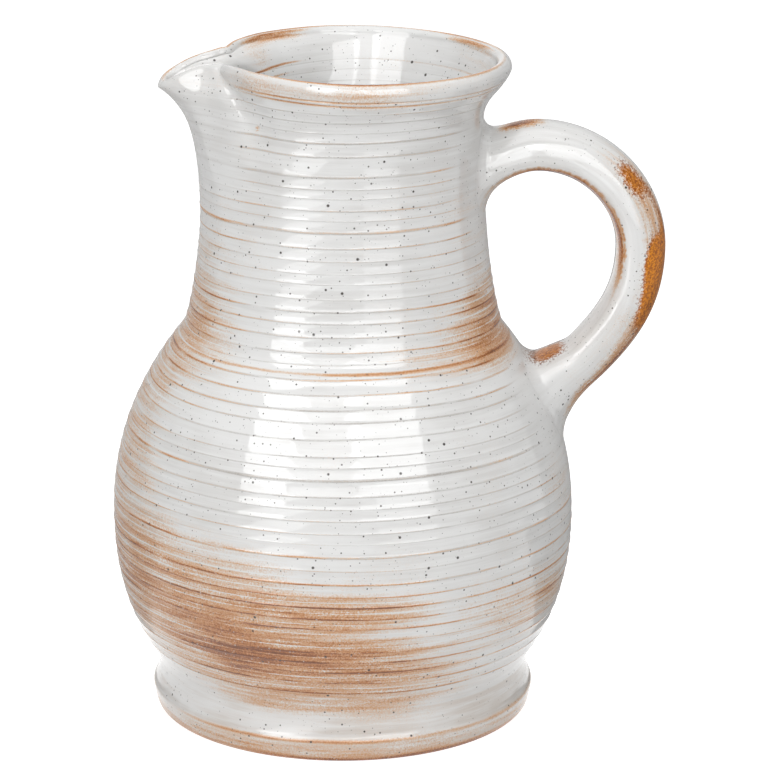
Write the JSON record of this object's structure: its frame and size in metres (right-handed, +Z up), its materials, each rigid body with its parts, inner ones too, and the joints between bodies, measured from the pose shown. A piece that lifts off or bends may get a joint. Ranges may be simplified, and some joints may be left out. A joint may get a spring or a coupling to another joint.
{
  "type": "stoneware pitcher",
  "caption": "Glazed stoneware pitcher with a round belly, tall neck, pulled pouring lip, strap handle and flared foot, for pouring drinks or holding flowers.",
  "frame": {"origin": "middle of the flat base, on the axis the body was thrown about", "axes": "+Z up along that axis, +X towards the handle, so the pouring lip points along -X"},
  "size_m": [0.1983, 0.1664, 0.2404],
  "materials": {
    "white_glaze": "glossy off-white glaze with iron specks, rust-coloured breaks over throwing rings",
    "foot_glaze": "thin tan glaze, rust on the arris",
    "handle_glaze": "glossy off-white glaze with golden-brown patches",
    "luting_slip": "fired clay slip"
  },
  "bodies": {
    "root": {"belly": "white_glaze", "neck": "white_glaze", "foot_ring": "foot_glaze", "handle": "handle_glaze", "shoulder_slip": "luting_slip", "foot_slip": "luting_slip", "upper_handle_slip": "luting_slip", "lower_handle_slip": "luting_slip"}
  },
  "joints": []
}
